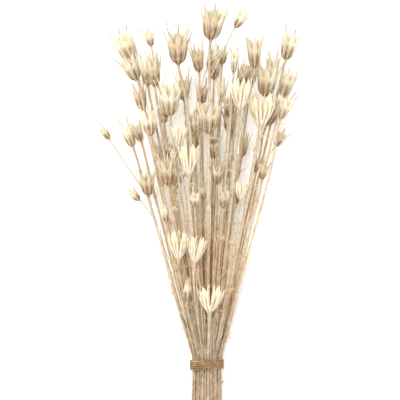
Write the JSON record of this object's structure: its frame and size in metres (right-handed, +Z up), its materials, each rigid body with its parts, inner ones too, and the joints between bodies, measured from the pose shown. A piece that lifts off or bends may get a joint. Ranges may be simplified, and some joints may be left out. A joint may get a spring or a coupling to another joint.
{
  "type": "nigella seed pod bunch",
  "caption": "Lying bunch of dried, bleached nigella seed pods on long cut stems, fanned out from a twine tie.",
  "frame": {"origin": "The middle of the flat spot under the tie, on the surface that the bunch lies on.", "axes": "+Y runs along the stems from their cut ends to the pods, +X is across the fan of pods, +Z is up from the surface, to the bunch's front."},
  "size_m": [0.2448, 0.5026, 0.1266],
  "materials": {
    "dried_plant": "matt, bleached, papery",
    "twine": "twisted natural fibre"
  },
  "bodies": {
    "root": {"stem_01": "dried_plant", "stem_02": "dried_plant", "stem_03": "dried_plant", "stem_04": "dried_plant", "stem_05": "dried_plant", "stem_06": "dried_plant", "stem_07": "dried_plant", "stem_08": "dried_plant", "stem_09": "dried_plant", "stem_10": "dried_plant", "stem_11": "dried_plant", "stem_12": "dried_plant", "stem_13": "dried_plant", "stem_14": "dried_plant", "stem_15": "dried_plant", "stem_16": "dried_plant", "stem_17": "dried_plant", "stem_18": "dried_plant", "stem_19": "dried_plant", "stem_20": "dried_plant", "stem_21": "dried_plant", "stem_22": "dried_plant", "stem_23": "dried_plant", "stem_24": "dried_plant", "stem_25": "dried_plant", "stem_26": "dried_plant", "stem_27": "dried_plant", "stem_28": "dried_plant", "stem_29": "dried_plant", "stem_30": "dried_plant", "stem_31": "dried_plant", "stem_32": "dried_plant", "stem_33": "dried_plant", "stem_34": "dried_plant", "stem_35": "dried_plant", "stem_36": "dried_plant", "stem_37": "dried_plant", "stem_38": "dried_plant", "stem_39": "dried_plant", "stem_40": "dried_plant", "stem_41": "dried_plant", "stem_42": "dried_plant", "stem_43": "dried_plant", "stem_44": "dried_plant", "stem_45": "dried_plant", "stem_46": "dried_plant", "stem_47": "dried_plant", "stem_48": "dried_plant", "stem_49": "dried_plant", "stem_50": "dried_plant", "stem_51": "dried_plant", "stem_52": "dried_plant", "stem_53": "dried_plant", "stem_54": "dried_plant", "stem_55": "dried_plant", "tie": "twine"}
  },
  "joints": []
}
